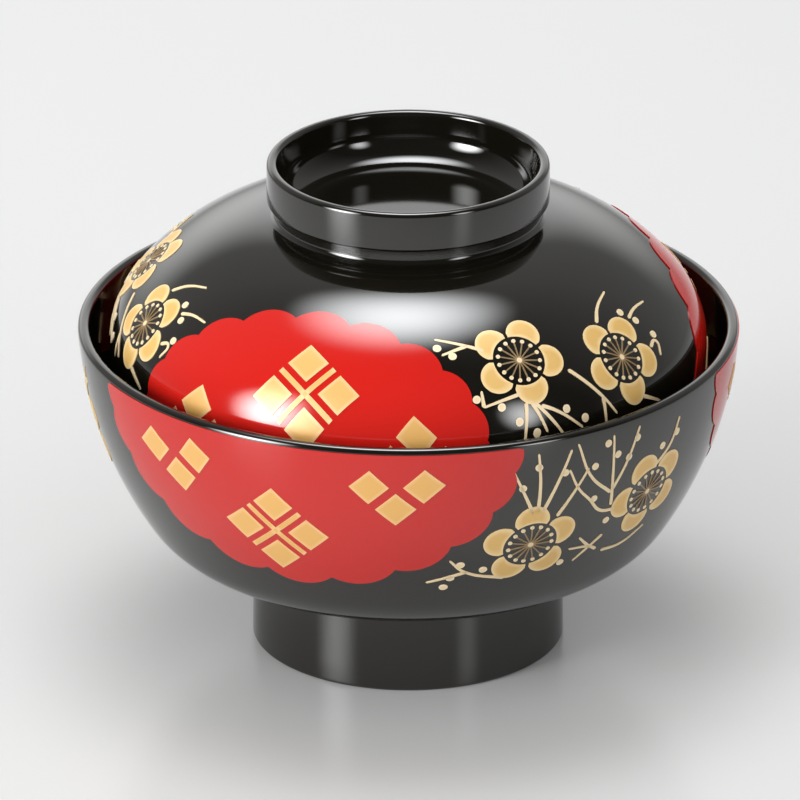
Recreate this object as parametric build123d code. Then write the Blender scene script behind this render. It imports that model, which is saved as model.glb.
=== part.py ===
from build123d import *
import os
from math import asin, cos, degrees, hypot, radians, sin, sqrt, tan

# A turned wooden soup bowl with a lid that drops inside its rim. Both are coated in
# black lacquer, with red scalloped clouds and gold crests and plum blossom on top.
# The axis of the bowl is Z, its foot stands on z = 0 and its front faces -Y.
# Lengths are millimetres, angles are degrees.

# Bowl, turned shape
bowl_height = 69.0
bowl_rim_radius = 67.6
bowl_wall = 2.4
bowl_rim_tilt = 3.2
bowl_side_end_tilt = 33.0
bowl_hip_radius = 18.6
bowl_underside_tilt = 80.0
bowl_base_thickness = 5.2

# Foot under the bowl
foot_height = 19.1
foot_radius = 32.1
foot_flare = 0.3
foot_wall = 4.2
foot_edge_round = 0.8
foot_top_round = 0.8
foot_recess_round = 2.5

# Lid, turned shape
lid_seat_depth = 20.1
lid_clearance = 0.35
lid_wall = 3.0
lid_skirt_height = 15.5
lid_shoulder_radius = 19.0
lid_shoulder_turn = 40.0
lid_crown_radius = 44.2

# Grip ring on top of the lid
ring_radius = 28.85
ring_wall = 2.2
ring_height = 11.6
ring_band_height = 8.3
ring_band_round = 0.6
ring_neck_radius = 27.0
ring_neck_round = 1.4
ring_recess_depth = 10.2
ring_recess_round = 5.8

# Rounding of every thin lip, as a share of its wall
lip_share = 0.42

# Lacquer and painted layers
lacquer = 0.4
red_layer = 0.2
gold_layer = 0.15

# Layout of the decoration: where each cloud and each spray faces, from the front, and how
# much lower than the front one each cloud lies
cloud_azimuths = (-21.0, 110.0, 215.0)
bowl_cloud_drops = (0.0, 0.0, 0.0)
lid_cloud_drops = (0.0, 6.0, 6.0)
bowl_plum_azimuths = (37.0, 163.0, -96.0)
lid_plum_azimuths = (37.0, 163.0, -82.0)
bowl_art_tilt = -20.0
lid_art_tilt = 43.0
lid_art_radius = 56.6
lid_art_height = 75.8
bowl_rim_margin = 1.05
lid_edge_margin = 5.6
ring_margin = 2.0

# Scalloped clouds, as half axes of the oval through the notches
cloud_lobes = 20
cloud_bulge = 0.2
bowl_cloud_half_width = 44.0
bowl_cloud_half_height = 26.0
bowl_cloud_centre = (-0.8, 16.0)
lid_cloud_half_width = 37.3
lid_cloud_half_height = 19.5
lid_cloud_centre = (-1.0, -4.0)

# Lozenge crests: four lozenges round a cross of bars, or three lozenges
crest_half_width = 11.2
crest_half_height = 10.6
crest_gap = 1.85
crest_bar = 1.1
small_crest_half_width = 9.2
small_crest_half_height = 9.0
small_crest_gap = 0.95
# Each crest: centre on the drawing and its turn
bowl_crest = ((-4.0, 2.0), 0.0)
bowl_small_crests = [((-26.8, 13.3), 13.0), ((21.6, 14.2), -5.0)]
lid_crest = ((0.0, -1.0), 8.0)
lid_small_crests = [((-25.5, -9.5), -15.0), ((24.5, -9.5), 15.0)]

# Plum blossom
petals = 5
flower_radius = 10.0
petal_radius = 3.65
petal_gap = 0.8
eye_radius = 5.7
stamens = 15
stamen_length = 4.6
stamen_width = 0.28
anther_radius = 0.45
stamen_heart_radius = 0.6
lid_flower_share = 0.95
# Each flower: centre on the drawing and its turn
bowl_flowers = [((-14.8, -2.3), 98.0), ((13.1, 3.3), 110.0)]
lid_flowers = [((-11.2, 6.6), 54.0), ((12.0, 1.2), 58.0)]

# Twigs, thick end first, and buds
twig_base_width = 0.78
twig_tip_width = 0.44
bud_radius = 0.8
bowl_twigs = [
    [(-15.0, 6.0), (-15.5, 13.0), (-16.5, 20.0)],
    [(-16.0, 6.0), (-21.3, 16.0)],
    [(-14.0, 6.0), (-9.2, 20.0)],
    [(-10.5, 4.5), (-4.7, 15.0)],
    [(4.0, 2.5), (0.0, 3.5), (-3.2, 7.0), (-6.5, 10.5), (-9.3, 15.5)],
    [(2.7, 4.0), (1.7, 12.0), (0.9, 21.0)],
    [(1.8, 7.5), (-4.0, 13.0), (-7.8, 21.0)],
    [(2.2, 8.0), (5.0, 13.5), (7.8, 21.0)],
    [(14.0, 9.5), (17.8, 12.5), (20.2, 18.0)],
    [(-18.0, -11.5), (-26.5, -9.5), (-30.0, -6.5)],
    [(-26.0, -9.5), (-32.5, -13.5)],
    [(2.2, -7.8), (0.0, -6.4), (-5.2, -5.6)],
    [(2.7, -3.9), (0.0, -6.4), (-3.1, -9.6)],
    [(0.0, -6.4), (-3.4, -2.9)],
    [(4.0, -9.0), (10.0, -9.4), (15.5, -7.0)],
]
bowl_buds = [
    (-16.2, 16.9), (-19.1, 12.3), (-10.2, 15.0), (-2.2, 7.0), (2.5, 0.0), (-0.4, 19.5),
    (2.4, 16.3), (-3.2, 15.0), (7.4, 18.5), (5.5, 14.7), (15.4, 13.5), (19.8, 14.7),
    (-27.7, -7.6), (-23.0, -8.8), (-28.6, -11.6), (-29.0, -14.5), (-6.2, -9.1),
]
lid_twigs = [
    [(-17.0, 11.0), (-20.0, 13.5), (-24.5, 17.0)],
    [(-19.5, 13.2), (-25.0, 13.2)],
    [(-14.0, 0.0), (-22.0, 0.0)],
    [(-22.0, 0.0), (-21.3, 3.3)],
    [(-13.5, -2.0), (-15.3, -9.0)],
    [(-12.5, -2.0), (-10.2, -8.5)],
    [(-11.8, -2.5), (-6.7, -9.7)],
    [(-10.5, -3.5), (-8.0, -5.0), (-2.0, -9.7)],
    [(-2.0, 1.6), (4.0, -5.4), (7.0, -9.0)],
    [(4.0, -5.4), (4.0, -10.0)],
    [(10.0, 9.5), (12.4, 12.8), (16.8, 16.0)],
    [(18.8, 9.0), (21.5, 10.8), (25.7, 12.2)],
    [(21.0, 2.0), (23.2, 3.2), (23.2, 0.0)],
    [(15.0, -7.0), (20.3, -8.2)],
]
lid_buds = [
    (-25.0, 15.0), (-23.2, 12.2), (-22.8, 2.0), (-18.6, -1.2), (-15.8, -5.0), (-5.2, -5.6),
    (-1.2, -8.2), (-12.5, -8.0), (17.4, 10.6), (20.4, 8.2), (23.4, 4.6),
]

# Reach of the cutting shapes used below
far = 200.0
art_reach_out = 4.0
art_reach_in = 32.0


# Flat outlines, radius across and height up

def filled(*edges):
    """A face from a closed run of edges."""
    return make_face(Curve() + list(edges))


def block(inner, outer, low, high):
    """A rectangle from an inner to an outer radius."""
    return Pos((inner + outer) / 2, (low + high) / 2) * Rectangle(outer - inner, high - low)


def round_corner(section, point, radius):
    """Round the corner of a section that is nearest to a point."""
    corner = section.vertices().sort_by_distance((*point, 0))[0]
    return fillet(corner, radius)


def turn(half):
    """The solid that a half section sweeps round the axis."""
    return revolve(Plane.XZ * half, Axis.Z)


# Bowl profile: side arc, hip arc and a straight underside that meets the foot

foot_top_radius = foot_radius - foot_flare
tilt_a = radians(bowl_rim_tilt)
tilt_b = radians(bowl_side_end_tilt)
tilt_c = radians(bowl_underside_tilt)
underside_slope = 1 / tan(tilt_c)
hip_drop = bowl_hip_radius * (sin(tilt_c) - sin(tilt_b))
hip_reach = bowl_hip_radius * (cos(tilt_b) - cos(tilt_c))
side_drop = (
    bowl_height - foot_height - hip_drop
    - underside_slope * (bowl_rim_radius - hip_reach - foot_top_radius)
)
side_radius = side_drop / (
    sin(tilt_b) - sin(tilt_a) - underside_slope * (cos(tilt_a) - cos(tilt_b))
)
side_centre = (
    bowl_rim_radius - side_radius * cos(tilt_a),
    bowl_height + side_radius * sin(tilt_a),
)
hip_centre = (
    side_centre[0] + (side_radius - bowl_hip_radius) * cos(tilt_b),
    side_centre[1] - (side_radius - bowl_hip_radius) * sin(tilt_b),
)


def bowl_arcs(inset):
    """Side and hip arcs of the bowl, a given distance inside its outer face."""
    side = CenterArc(side_centre, side_radius - inset, -bowl_rim_tilt,
                     bowl_rim_tilt - bowl_side_end_tilt)
    hip = CenterArc(hip_centre, bowl_hip_radius - inset, -bowl_side_end_tilt,
                    bowl_side_end_tilt - bowl_underside_tilt)
    return side, hip


def bowl_outline(inset=0):
    """Half section of the bowl and its foot as if solid, a given distance inside its faces."""
    side, hip = bowl_arcs(inset)
    hip_end = hip @ 1
    underside_end = (0, hip_end.Y - hip_end.X * underside_slope)
    body = filled(
        side, hip,
        Line(hip_end, underside_end),
        Line(underside_end, (0, bowl_height)),
        Line((0, bowl_height), side @ 0),
    )
    foot = Polygon(
        (0, inset), (foot_radius - inset, inset),
        (foot_top_radius - inset, foot_height),
        (foot_top_radius - inset, foot_height + bowl_wall), (0, foot_height + bowl_wall),
        align=None,
    )
    joined = round_corner(body + foot, (foot_top_radius, foot_height), foot_top_round + inset)
    return round_corner(joined, (foot_radius, 0), foot_edge_round - inset)


def bowl_hollow(inset):
    """Half section of the space inside the bowl, its floor a shallow arc."""
    side, hip = bowl_arcs(inset)
    floor_start = hip @ 1
    floor_radius = floor_start.X / cos(tilt_c)
    floor_centre = (0, floor_start.Y + floor_radius * sin(tilt_c))
    floor = CenterArc(floor_centre, floor_radius, -bowl_underside_tilt,
                      bowl_underside_tilt - 90)
    mouth = side @ 0
    above = (mouth.X, bowl_height + bowl_wall)
    return filled(
        side, hip, floor,
        Line(floor @ 1, (0, above[1])),
        Line((0, above[1]), above),
        Line(above, mouth),
    )


def bowl_floor_height():
    """Height of the middle of the bowl's floor."""
    return bowl_hollow(bowl_wall).bounding_box().min.Y


def foot_recess(inset):
    """Half section of the hollow under the foot."""
    radius = foot_radius - foot_wall + inset
    ceiling = bowl_floor_height() - bowl_base_thickness + inset
    return round_corner(block(0, radius, -far, ceiling), (radius, ceiling),
                        foot_recess_round + inset)


def bowl_inner_radius(height):
    """Radius of the bowl's inside face on its side arc."""
    return side_centre[0] + sqrt((side_radius - bowl_wall) ** 2 - (side_centre[1] - height) ** 2)


def bowl_section(inset=0):
    """Half section of the finished bowl, a given distance inside all its faces."""
    section = bowl_outline(inset) & block(0, far, 0, bowl_height - inset)
    section = section - bowl_hollow(bowl_wall - inset) - foot_recess(inset)
    rim_round = bowl_wall * lip_share - inset
    for radius in (bowl_rim_radius - bowl_wall, bowl_rim_radius):
        section = round_corner(section, (radius, bowl_height), rim_round)
    return round_corner(section, (foot_radius - foot_wall, 0), foot_edge_round - inset)


# Lid profile: skirt, shoulder arc, crown arc and a flat top, with the grip ring on it

lid_edge_height = bowl_height - lid_seat_depth
lid_radius = bowl_inner_radius(lid_edge_height) - lid_clearance
shoulder_angle = radians(lid_shoulder_turn)
shoulder_centre = (lid_radius - lid_shoulder_radius, lid_edge_height + lid_skirt_height)
crown_centre = (
    shoulder_centre[0] - (lid_crown_radius - lid_shoulder_radius) * cos(shoulder_angle),
    shoulder_centre[1] - (lid_crown_radius - lid_shoulder_radius) * sin(shoulder_angle),
)
lid_flat_height = crown_centre[1] + lid_crown_radius
neck_foot = crown_centre[1] + sqrt(
    lid_crown_radius ** 2 - (ring_neck_radius - crown_centre[0]) ** 2
)
ring_top = lid_flat_height + ring_height
ring_band_foot = ring_top - ring_band_height
ring_recess_floor = ring_top - ring_recess_depth


def lid_dome(inset):
    """Half section under the lid's outer face, or a given distance inside it."""
    skirt_foot = (lid_radius - inset, lid_edge_height)
    skirt_top = (lid_radius - inset, shoulder_centre[1])
    flat_middle = (0, lid_flat_height - inset)
    shoulder = CenterArc(shoulder_centre, lid_shoulder_radius - inset, 0, lid_shoulder_turn)
    crown = CenterArc(crown_centre, lid_crown_radius - inset, lid_shoulder_turn,
                      90 - lid_shoulder_turn)
    return filled(
        Line(skirt_foot, skirt_top),
        shoulder, crown,
        Line(crown @ 1, flat_middle),
        Line(flat_middle, (0, lid_edge_height)),
        Line((0, lid_edge_height), skirt_foot),
    )


def lid_section(inset=0):
    """Half section of the finished lid, a given distance inside all its faces."""
    neck = block(0, ring_neck_radius - inset, lid_edge_height + inset, ring_top - inset)
    band = block(0, ring_radius - inset, ring_band_foot + inset, ring_top - inset)
    section = lid_dome(inset) & block(0, far, lid_edge_height + inset, far)
    section = round_corner(section + neck, (ring_neck_radius - inset, neck_foot),
                           ring_neck_round + inset)
    section = round_corner(section + band, (ring_neck_radius - inset, ring_band_foot + inset),
                           ring_band_round + inset)
    section = round_corner(section, (ring_radius - inset, ring_band_foot + inset),
                           ring_band_round - inset)
    recess_radius = ring_radius - ring_wall + inset
    recess_floor = ring_recess_floor - inset
    recess = block(0, recess_radius, recess_floor, far)
    recess = round_corner(recess, (recess_radius, recess_floor), ring_recess_round + inset)
    section = section - recess - lid_dome(lid_wall - inset)
    for radius in (ring_radius - ring_wall, ring_radius):
        section = round_corner(section, (radius, ring_top), ring_wall * lip_share - inset)
    for radius in (lid_radius - lid_wall, lid_radius):
        section = round_corner(section, (radius, lid_edge_height), lid_wall * lip_share - inset)
    return section


# Painted layers that lie on the outside

def painted_shell(outline, low, high, lift, thickness):
    """A thin turned shell on an outline, lifted off it, between two heights."""
    layer = outline(-lift - thickness) - outline(-lift)
    return turn(layer & block(0, far, low, high))


def drawing_plane(azimuth, drop, radius, height, tilt):
    """A plane along the outside, x to the right and y up as seen from there, moved down by a drop."""
    a = radians(azimuth)
    t = radians(tilt)
    reach = radius + drop * sin(t)
    return Plane(
        origin=(reach * sin(a), -reach * cos(a), height - drop * cos(t)),
        x_dir=(cos(a), sin(a), 0),
        z_dir=(cos(t) * sin(a), -cos(t) * cos(a), sin(t)),
    )


def bowl_plane(azimuth, drop=0):
    """Drawing plane on the side arc of the bowl."""
    t = radians(bowl_art_tilt)
    radius = side_centre[0] + side_radius * cos(t)
    height = side_centre[1] + side_radius * sin(t)
    return drawing_plane(azimuth, drop, radius, height, bowl_art_tilt)


def lid_plane(azimuth, drop=0):
    """Drawing plane on the shoulder of the lid."""
    return drawing_plane(azimuth, drop, lid_art_radius, lid_art_height, lid_art_tilt)


def stamp(plane, drawing):
    """Prisms through the wall behind each face of a flat drawing."""
    start = plane.offset(art_reach_out)
    return [extrude(start * face, -(art_reach_out + art_reach_in)) for face in drawing.faces()]


def print_on(shell, plane, drawing):
    """The solids that a flat drawing covers on a thin shell."""
    solids = []
    for prism in stamp(plane, drawing):
        solids += (shell & prism).solids()
    return solids


# Flat drawings of the motifs

def cloud_drawing(half_width, half_height, centre):
    """An oval whose edge is a chain of round lobes."""
    step = 360 / cloud_lobes
    notches = [
        Vector(centre[0] + half_width * cos(radians(step * (lobe + 0.5))),
               centre[1] + half_height * sin(radians(step * (lobe + 0.5))))
        for lobe in range(cloud_lobes)
    ]
    lobes = []
    for here, there in zip(notches, notches[1:] + notches[:1]):
        chord = there - here
        out = Vector(chord.Y, -chord.X) * cloud_bulge
        lobes.append(ThreePointArc(here, (here + there) / 2 + out, there))
    return filled(*lobes)


def crest_drawing(half_width, half_height, gap, sides):
    """Lozenges at the given sides of a crest: right, top, left, bottom as 0 to 3."""
    slant = hypot(half_width, half_height)
    inner_x = gap * slant / half_height
    inner_y = gap * slant / half_width
    across = half_width - inner_x
    up = half_height - inner_y
    lozenge = Polygon((across / 2, 0), (0, up / 2), (-across / 2, 0), (0, -up / 2))
    middle_x = (half_width + inner_x) / 2
    middle_y = (half_height + inner_y) / 2
    places = [(middle_x, 0), (0, middle_y), (-middle_x, 0), (0, -middle_y)]
    return Sketch() + [Pos(*places[side]) * lozenge for side in sides]


def cross_bars():
    """The cross between the four lozenges of the large crest."""
    slant = hypot(crest_half_width, crest_half_height)
    lean = degrees(asin(crest_half_height / slant))
    bar = Rectangle(slant, crest_bar)
    return Rot(0, 0, lean) * bar + Rot(0, 0, -lean) * bar


def crests_drawing(large, small_ones, small_sides):
    """All crests of one cloud."""
    centre, lean = large
    four = crest_drawing(crest_half_width, crest_half_height, crest_gap, range(4)) + cross_bars()
    drawing = Sketch() + Pos(*centre) * Rot(0, 0, lean) * four
    three = crest_drawing(small_crest_half_width, small_crest_half_height, small_crest_gap,
                          small_sides)
    for centre, lean in small_ones:
        drawing += Pos(*centre) * Rot(0, 0, lean) * three
    return drawing


def petal_drawing():
    """One petal, pointing along x: a disc cut by the eye and by its neighbours."""
    half_turn = radians(180 / petals)
    edge = flower_radius / cos(half_turn)
    gap_shift = petal_gap / 2 / sin(half_turn)
    sector = Pos(gap_shift, 0) * Polygon(
        (0, 0),
        (edge * cos(half_turn), -edge * sin(half_turn)),
        (edge * cos(half_turn), edge * sin(half_turn)),
        align=None,
    )
    disc = Pos(flower_radius - petal_radius, 0) * Circle(petal_radius)
    return (disc & sector) - Circle(eye_radius)


def petals_drawing(flowers, share):
    """The petals of all flowers of one spray."""
    drawing = Sketch()
    one = scale(petal_drawing(), share)
    for centre, lean in flowers:
        for petal in range(petals):
            angle = lean + 360 / petals * petal
            drawing += Pos(*centre) * Rot(0, 0, angle) * one
    return drawing


def stamens_drawing(flowers, share):
    """A star of stamens with round anthers in the eye of each flower."""
    stalk = Pos(stamen_length / 2, 0) * Rectangle(stamen_length, stamen_width)
    stamen = stalk + Pos(stamen_length, 0) * Circle(anther_radius)
    star = Sketch() + Circle(stamen_heart_radius)
    for number in range(stamens):
        star += Rot(0, 0, 360 / stamens * number) * stamen
    star = scale(star, share)
    return Sketch() + [Pos(*centre) * Rot(0, 0, lean) * star for centre, lean in flowers]


def twig_drawing(points):
    """A tapering stroke through some points, round at its joints."""
    runs = len(points) - 1
    taper = (twig_base_width - twig_tip_width) / runs
    widths = [twig_base_width - taper * number for number in range(runs + 1)]
    stroke = Sketch() + [Pos(*point) * Circle(width / 2) for point, width in zip(points, widths)]
    for number in range(runs):
        start = Vector(*points[number])
        end = Vector(*points[number + 1])
        side = Vector(start.Y - end.Y, end.X - start.X).normalized() / 2
        near = side * widths[number]
        tip = side * widths[number + 1]
        stroke += Polygon(*[(v.X, v.Y) for v in (start + near, start - near, end - tip, end + tip)],
                          align=None)
    return stroke


def spray_drawings(flowers, share, twigs, buds):
    """Petals, stamens, twigs and buds of one spray, none on top of another."""
    petal_faces = petals_drawing(flowers, share)
    flower_discs = Sketch() + [Pos(*centre) * Circle(eye_radius * share) for centre, _ in flowers]
    bud_faces = Sketch() + [Pos(*place) * Circle(bud_radius) for place in buds]
    bud_faces = bud_faces - petal_faces - flower_discs
    twig_faces = Sketch() + [twig_drawing(points) for points in twigs]
    twig_faces = twig_faces - petal_faces - flower_discs - bud_faces
    return {
        "petals": petal_faces,
        "stamens": stamens_drawing(flowers, share),
        "twigs": twig_faces,
        "buds": bud_faces,
    }


def decorate(name, outline, low, high, plane_at, cloud, drops, crests, spray, plum_azimuths):
    """Clouds, crests and plum sprays of the bowl or the lid, as named nodes."""
    red = painted_shell(outline, low, high, 0, red_layer)
    gold_on_red = painted_shell(outline, low, high, red_layer, gold_layer)
    gold_on_black = painted_shell(outline, low, high, 0, gold_layer)
    nodes = {}
    crest_solids = []
    for number, azimuth in enumerate(cloud_azimuths):
        plane = plane_at(azimuth, drops[number])
        nodes[f"{name}_red_cloud_{number + 1}"] = print_on(red, plane, cloud)
        crest_solids += print_on(gold_on_red, plane, crests)
        for prism in stamp(plane, cloud):
            gold_on_black -= prism
    nodes[f"{name}_gold_crests"] = crest_solids
    for part, drawing in spray.items():
        solids = []
        for azimuth in plum_azimuths:
            solids += print_on(gold_on_black, plane_at(azimuth), drawing)
        nodes[f"{name}_plum_{part}"] = solids
    return nodes


# Solids of the bowl

def bowl_nodes():
    """Wood, lacquer and decoration of the bowl."""
    wood = bowl_section(lacquer)
    coat = bowl_section() - wood
    inside = bowl_hollow(bowl_wall / 2)
    recess_middle = bowl_floor_height() - bowl_base_thickness / 2
    under = block(0, foot_radius - foot_wall / 2, -far, recess_middle)
    under = under + block(0, far, -far, foot_edge_round)
    nodes = {
        "bowl_wood_core": turn(wood).solids(),
        "bowl_outer_lacquer": turn(coat - inside - under).solids(),
        "bowl_inner_lacquer": turn(coat & inside).solids(),
        "bowl_foot_lacquer": turn(coat & under).solids(),
    }
    cloud = cloud_drawing(bowl_cloud_half_width, bowl_cloud_half_height, bowl_cloud_centre)
    crests = crests_drawing(bowl_crest, bowl_small_crests, (0, 2, 3))
    spray = spray_drawings(bowl_flowers, 1, bowl_twigs, bowl_buds)
    nodes.update(decorate("bowl", bowl_outline, foot_height, bowl_height - bowl_rim_margin,
                          bowl_plane, cloud, bowl_cloud_drops, crests, spray,
                          bowl_plum_azimuths))
    return nodes


# Solids of the lid

def lid_nodes():
    """Wood, lacquer and decoration of the lid."""
    wood = lid_section(lacquer)
    coat = lid_section() - wood
    inside = lid_dome(lid_wall / 2) + block(0, lid_radius - lid_wall / 2, 0, lid_edge_height)
    nodes = {
        "lid_wood_core": turn(wood).solids(),
        "lid_outer_lacquer": turn(coat - inside).solids(),
        "lid_inner_lacquer": turn(coat & inside).solids(),
    }
    cloud = cloud_drawing(lid_cloud_half_width, lid_cloud_half_height, lid_cloud_centre)
    crests = crests_drawing(lid_crest, lid_small_crests, (0, 1, 2))
    spray = spray_drawings(lid_flowers, lid_flower_share, lid_twigs, lid_buds)
    nodes.update(decorate("lid", lid_dome, lid_edge_height + lid_edge_margin,
                          neck_foot - ring_margin, lid_plane, cloud, lid_cloud_drops, crests,
                          spray, lid_plum_azimuths))
    return nodes


os.makedirs("parts", exist_ok=True)
for node_name, node_solids in {**bowl_nodes(), **lid_nodes()}.items():
    export_step(Compound(node_solids), f"parts/{node_name}.step")
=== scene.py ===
from math import atan2, cos, degrees, hypot, pi, radians, sin, sqrt, tan

import bmesh
import bpy
from mathutils import Matrix, Vector


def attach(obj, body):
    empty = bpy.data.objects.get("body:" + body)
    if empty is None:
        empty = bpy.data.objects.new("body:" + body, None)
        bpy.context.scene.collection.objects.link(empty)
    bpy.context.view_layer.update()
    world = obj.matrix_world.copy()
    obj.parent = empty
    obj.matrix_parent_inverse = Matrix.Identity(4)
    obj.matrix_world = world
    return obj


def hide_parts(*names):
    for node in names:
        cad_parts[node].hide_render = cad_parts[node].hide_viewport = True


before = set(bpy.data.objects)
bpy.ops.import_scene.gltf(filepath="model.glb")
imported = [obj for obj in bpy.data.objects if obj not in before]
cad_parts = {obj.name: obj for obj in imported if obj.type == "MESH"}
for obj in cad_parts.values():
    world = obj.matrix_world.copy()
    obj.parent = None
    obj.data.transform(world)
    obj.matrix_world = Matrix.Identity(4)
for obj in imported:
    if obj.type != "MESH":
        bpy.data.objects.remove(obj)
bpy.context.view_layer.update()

# Lengths below are millimetres and angles degrees, and are made metres where a mesh is made.
MM = 0.001

# Turned shape of the bowl
BOWL_HEIGHT = 69.0
BOWL_RIM_RADIUS = 67.6
BOWL_WALL = 2.4
BOWL_RIM_TILT = 3.2
BOWL_SIDE_END_TILT = 33.0
BOWL_HIP_RADIUS = 18.6
BOWL_UNDERSIDE_TILT = 80.0
BOWL_BASE_THICKNESS = 5.2
FOOT_HEIGHT = 19.1
FOOT_RADIUS = 32.1
FOOT_TOP_RADIUS = 31.8
FOOT_WALL = 4.2
FOOT_ROUND = 0.8
FOOT_RECESS_ROUND = 2.5

# Turned shape of the lid
LID_SEAT_DEPTH = 20.1
LID_CLEARANCE = 0.35
LID_WALL = 3.0
LID_SKIRT_HEIGHT = 15.5
LID_SHOULDER_RADIUS = 19.0
LID_SHOULDER_TURN = 40.0
LID_CROWN_RADIUS = 44.2
RING_RADIUS = 28.85
RING_WALL = 2.2
RING_HEIGHT = 11.6
RING_BAND_HEIGHT = 8.3
RING_BAND_ROUND = 0.6
RING_NECK_RADIUS = 27.0
RING_NECK_ROUND = 1.4
RING_RECESS_DEPTH = 10.2
RING_RECESS_ROUND = 5.8
LIP_SHARE = 0.42

# Painted layers
RED_LAYER = 0.19
GOLD_LAYER = 0.15
CLOUD_AZIMUTHS = (-21.0, 110.0, 215.0)
LID_CLOUD_DROP = 6.0
BOWL_PLUM_AZIMUTHS = (37.0, 163.0, -96.0)
LID_PLUM_AZIMUTHS = (37.0, 163.0, -82.0)
BOWL_ART_TILT = -20.0
LID_ART_TILT = 43.0
LID_ART_RADIUS = 56.6
LID_ART_HEIGHT = 75.8
BOWL_RIM_MARGIN = 1.05
LID_EDGE_MARGIN = 5.6

# Scalloped clouds
CLOUD_LOBES = 20
CLOUD_BULGE = 0.2
BOWL_CLOUD = (44.0, 26.0, (-0.8, 16.0))
LID_CLOUD = (37.3, 19.5, (-1.0, -4.0))

# Lozenge crests: centre and turn on the drawing
CREST_HALF_WIDTH = 11.2
CREST_HALF_HEIGHT = 10.6
CREST_GAP = 1.85
CREST_BAR = 1.1
SMALL_CREST_HALF_WIDTH = 9.2
SMALL_CREST_HALF_HEIGHT = 9.0
SMALL_CREST_GAP = 0.95
BOWL_CREST = [((-4.0, 2.0), 0.0)]
BOWL_SMALL_CRESTS = [((-26.8, 13.3), 13.0), ((21.6, 14.2), -5.0)]
LID_CREST = [((0.0, -1.0), 8.0)]
LID_SMALL_CRESTS = [((-25.5, -9.5), -15.0), ((24.5, -9.5), 15.0)]

# Plum blossom
PETALS = 5
FLOWER_RADIUS = 10.0
PETAL_RADIUS = 3.65
PETAL_GAP = 0.8
EYE_RADIUS = 5.7
STAMENS = 15
STAMEN_LENGTH = 4.6
STAMEN_WIDTH = 0.28
ANTHER_RADIUS = 0.45
STAMEN_HEART_RADIUS = 0.6
LID_FLOWER_SHARE = 0.95
BOWL_FLOWERS = [((-14.8, -2.3), 98.0), ((13.1, 3.3), 110.0)]
LID_FLOWERS = [((-11.2, 6.6), 54.0), ((12.0, 1.2), 58.0)]

# Twigs, thick end first, and buds
TWIG_BASE_WIDTH = 0.78
TWIG_TIP_WIDTH = 0.44
BUD_RADIUS = 0.8
TWIG_SPACING = 0.25
BOWL_TWIGS = [
    [(-15.0, 6.0), (-15.5, 13.0), (-16.5, 20.0)],
    [(-16.0, 6.0), (-21.3, 16.0)],
    [(-14.0, 6.0), (-9.2, 20.0)],
    [(-10.5, 4.5), (-4.7, 15.0)],
    [(4.0, 2.5), (0.0, 3.5), (-3.2, 7.0), (-6.5, 10.5), (-9.3, 15.5)],
    [(2.7, 4.0), (1.7, 12.0), (0.9, 21.0)],
    [(1.8, 7.5), (-4.0, 13.0), (-7.8, 21.0)],
    [(2.2, 8.0), (5.0, 13.5), (7.8, 21.0)],
    [(14.0, 9.5), (17.8, 12.5), (20.2, 18.0)],
    [(-18.0, -11.5), (-26.5, -9.5), (-30.0, -6.5)],
    [(-26.0, -9.5), (-32.5, -13.5)],
    [(2.2, -7.8), (0.0, -6.4), (-5.2, -5.6)],
    [(2.7, -3.9), (0.0, -6.4), (-3.1, -9.6)],
    [(0.0, -6.4), (-3.4, -2.9)],
    [(4.0, -9.0), (10.0, -9.4), (15.5, -7.0)],
]
BOWL_BUDS = [
    (-16.2, 16.9), (-19.1, 12.3), (-10.2, 15.0), (-2.2, 7.0), (2.5, 0.0), (-0.4, 19.5),
    (2.4, 16.3), (-3.2, 15.0), (7.4, 18.5), (5.5, 14.7), (15.4, 13.5), (19.8, 14.7),
    (-27.7, -7.6), (-23.0, -8.8), (-28.6, -11.6), (-29.0, -14.5), (-6.2, -9.1),
]
LID_TWIGS = [
    [(-17.0, 11.0), (-20.0, 13.5), (-24.5, 17.0)],
    [(-19.5, 13.2), (-25.0, 13.2)],
    [(-14.0, 0.0), (-22.0, 0.0)],
    [(-22.0, 0.0), (-21.3, 3.3)],
    [(-13.5, -2.0), (-15.3, -9.0)],
    [(-12.5, -2.0), (-10.2, -8.5)],
    [(-11.8, -2.5), (-6.7, -9.7)],
    [(-10.5, -3.5), (-8.0, -5.0), (-2.0, -9.7)],
    [(-2.0, 1.6), (4.0, -5.4), (7.0, -9.0)],
    [(4.0, -5.4), (4.0, -10.0)],
    [(10.0, 9.5), (12.4, 12.8), (16.8, 16.0)],
    [(18.8, 9.0), (21.5, 10.8), (25.7, 12.2)],
    [(21.0, 2.0), (23.2, 3.2), (23.2, 0.0)],
    [(15.0, -7.0), (20.3, -8.2)],
]
LID_BUDS = [
    (-25.0, 15.0), (-23.2, 12.2), (-22.8, 2.0), (-18.6, -1.2), (-15.8, -5.0), (-5.2, -5.6),
    (-1.2, -8.2), (-12.5, -8.0), (17.4, 10.6), (20.4, 8.2), (23.4, 4.6),
]

# How finely round shapes are divided, for the pieces and for the walls they are painted on
SKIN_STEPS = 288
SKIN_CHORD = 1.6
WALL_STEPS = 1152
WALL_CHORD = 0.35
ARC_TURN = 9.0
ART_REACH_OUT = 4.0
ART_REACH = 40.0
PAINT_SINK = 0.02
SLIVER_AREA = 0.01
CREASE_ANGLE = 40.0
LOBE_PIECES = 14
CLOUD_RINGS = 30
LOZENGE_PIECES = 8
LOZENGE_RINGS = 8
PETAL_TIP_PIECES = 28
PETAL_SIDE_PIECES = 4
PETAL_EYE_PIECES = 12
PETAL_RINGS = 6
CLIP_STEPS = 30


# Profiles, as radius and height

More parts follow.
